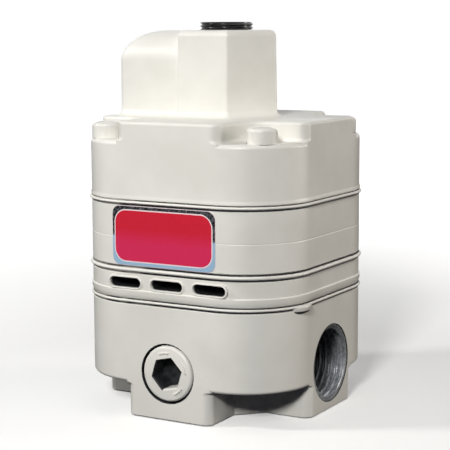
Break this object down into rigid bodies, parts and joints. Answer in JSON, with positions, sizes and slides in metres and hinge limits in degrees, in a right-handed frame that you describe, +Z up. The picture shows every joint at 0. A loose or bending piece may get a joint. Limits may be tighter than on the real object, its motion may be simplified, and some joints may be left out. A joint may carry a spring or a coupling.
{
  "type": "volume booster",
  "caption": "Pneumatic volume booster: a square stack of painted die castings with a hexagonal signal port tower, side ports, a gauge port and exhaust slots.",
  "frame": {"origin": "centre of the underside, on the axis of the stack", "axes": "+Z up along the stack, -Y towards the nameplate and the front gauge port, +X out of the outlet port"},
  "size_m": [0.0672, 0.0668, 0.1062],
  "materials": {
    "epoxy_paint": "satin off-white epoxy paint",
    "sealing_edge": "fabric-backed rubber edge, painted over with the castings",
    "nameplate_foil": "printed red foil, bright border",
    "port_plug": "glossy black polyethylene",
    "brass": "turned",
    "valve_rubber": "moulded nitrile",
    "turned_aluminium": "turned",
    "plated_steel": "zinc plated"
  },
  "bodies": {
    "housing": {"bonnet": "epoxy_paint", "spacer_ring": "epoxy_paint", "exhaust_ring": "epoxy_paint", "body": "epoxy_paint", "gauge_plug_front": "epoxy_paint", "gauge_plug_back": "epoxy_paint", "bonnet_screw_1": "epoxy_paint", "bonnet_screw_2": "epoxy_paint", "bonnet_screw_3": "epoxy_paint", "bonnet_screw_4": "epoxy_paint", "ring_gasket": "sealing_edge", "signal_diaphragm": "sealing_edge", "control_diaphragm": "sealing_edge", "nameplate": "nameplate_foil", "signal_port_plug": "port_plug", "supply_seat": "brass", "sensing_tube": "brass", "retainer_o_ring": "valve_rubber", "valve_retainer": "turned_aluminium", "baffle_plate": "plated_steel", "valve_spring": "plated_steel"},
    "supply_valve": {"supply_valve": "brass", "valve_face": "valve_rubber", "exhaust_face": "valve_rubber"},
    "hub": {"exhaust_hub": "turned_aluminium", "control_piston": "turned_aluminium", "spacer_tube": "turned_aluminium", "signal_piston": "turned_aluminium", "clamp_plate": "plated_steel", "hub_nut": "plated_steel"}
  },
  "joints": [
    {"name": "supply_valve_slide", "type": "slide", "parent": "housing", "child": "supply_valve", "axis": [0, 0, -1], "range_m": [0, 0.0012], "stiffness_N_per_m": 1200, "springref_m": -0.005, "deforming": ["valve_spring", "control_diaphragm", "signal_diaphragm"]},
    {"name": "exhaust_lift", "type": "slide", "parent": "supply_valve", "child": "hub", "axis": [0, 0, 1], "range_m": [0, 0.0008], "deforming": ["control_diaphragm", "signal_diaphragm"]}
  ]
}
